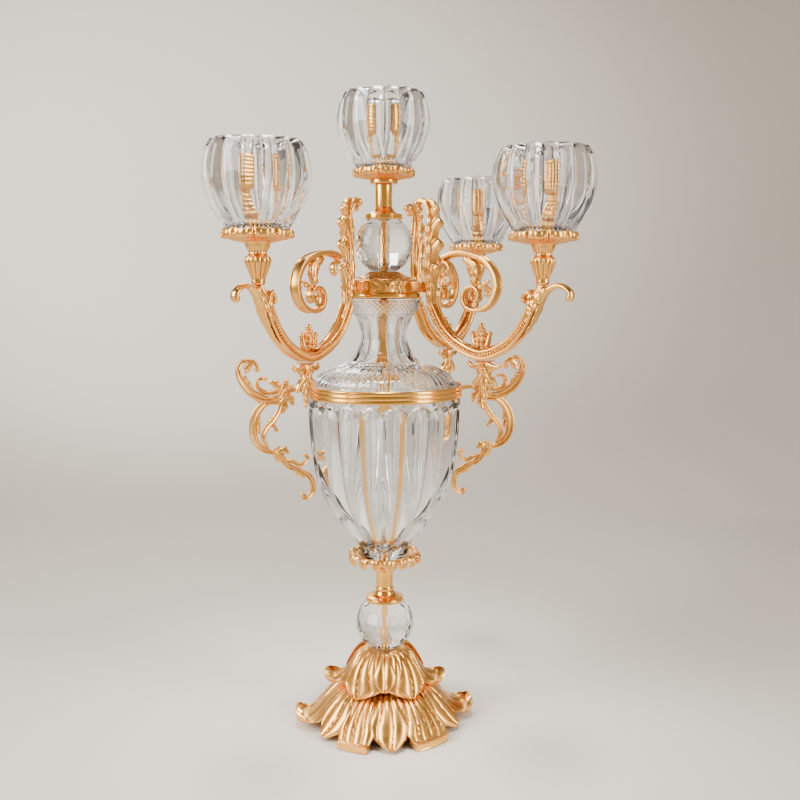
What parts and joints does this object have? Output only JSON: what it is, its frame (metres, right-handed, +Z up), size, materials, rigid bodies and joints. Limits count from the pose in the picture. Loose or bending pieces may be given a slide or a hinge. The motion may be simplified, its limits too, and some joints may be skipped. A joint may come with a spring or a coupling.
{
  "type": "candelabra",
  "caption": "Crystal urn candelabra with a gilt brass leaf base, a raised centre light, scrolled arms at right angles and lift-off ribbed glass shades.",
  "frame": {"origin": "on the table under the centre rod, at the middle of the felt pad's lower face", "axes": "+Z up along the centre rod; the middle arm points along -Y and the outer two along -X and +X; the handles stand on the diagonal at -45 and 135 degrees from +X"},
  "size_m": [0.498, 0.3669, 0.7169],
  "materials": {
    "gold_brass": "gold-plated cast brass, bright and polished, darker in the hollows",
    "base_brass": "gold-plated cast brass with a fine satin grain and worn bright ridges",
    "urn_crystal": "clear cut lead crystal, polished",
    "shade_crystal": "clear pressed and fire-polished glass with thick ribs",
    "steel": "zinc-plated steel",
    "clear_rubber": "translucent soft washer",
    "felt": "dark green wool felt"
  },
  "bodies": {
    "stand": {"arm_hub": "gold_brass", "back_handle": "gold_brass", "base_lower_leaves": "base_brass", "base_nut": "steel", "base_pad": "felt", "base_upper_leaves": "base_brass", "cup_ring": "gold_brass", "foot_gasket": "clear_rubber", "front_arm_collar_leaf": "gold_brass", "front_arm_finial": "gold_brass", "front_arm_leaf": "gold_brass", "front_arm_pendant": "gold_brass", "front_arm_rail": "gold_brass", "front_arm_scroll": "gold_brass", "front_arm_stem": "gold_brass", "front_candle_cup": "gold_brass", "front_grub_screw": "steel", "front_handle": "gold_brass", "front_saucer": "gold_brass", "hub_dome": "gold_brass", "leaf_cup": "gold_brass", "left_arm_collar_leaf": "gold_brass", "left_arm_finial": "gold_brass", "left_arm_leaf": "gold_brass", "left_arm_pendant": "gold_brass", "left_arm_rail": "gold_brass", "left_arm_scroll": "gold_brass", "left_arm_stem": "gold_brass", "left_candle_cup": "gold_brass", "left_grub_screw": "steel", "left_saucer": "gold_brass", "lower_ball": "urn_crystal", "lower_bell": "gold_brass", "lower_tube": "gold_brass", "neck_collar": "gold_brass", "right_arm_collar_leaf": "gold_brass", "right_arm_finial": "gold_brass", "right_arm_leaf": "gold_brass", "right_arm_pendant": "gold_brass", "right_arm_rail": "gold_brass", "right_arm_scroll": "gold_brass", "right_arm_stem": "gold_brass", "right_candle_cup": "gold_brass", "right_grub_screw": "steel", "right_saucer": "gold_brass", "rod_sleeve": "gold_brass", "tie_rod": "steel", "top_candle_cup": "gold_brass", "top_disc": "gold_brass", "top_flange": "gold_brass", "top_saucer": "gold_brass", "top_tube": "gold_brass", "upper_ball": "urn_crystal", "urn_band": "gold_brass", "urn_body": "urn_crystal", "urn_neck": "urn_crystal"},
    "top_shade": {"top_shade": "shade_crystal"},
    "left_shade": {"left_shade": "shade_crystal"},
    "front_shade": {"front_shade": "shade_crystal"},
    "right_shade": {"right_shade": "shade_crystal"}
  },
  "joints": [
    {"name": "top_shade_lift", "type": "slide", "parent": "stand", "child": "top_shade", "axis": [0, 0, 1], "range_m": [0, 0.11]},
    {"name": "left_shade_lift", "type": "slide", "parent": "stand", "child": "left_shade", "axis": [0, 0, 1], "range_m": [0, 0.11]},
    {"name": "front_shade_lift", "type": "slide", "parent": "stand", "child": "front_shade", "axis": [0, 0, 1], "range_m": [0, 0.11]},
    {"name": "right_shade_lift", "type": "slide", "parent": "stand", "child": "right_shade", "axis": [0, 0, 1], "range_m": [0, 0.11]}
  ]
}
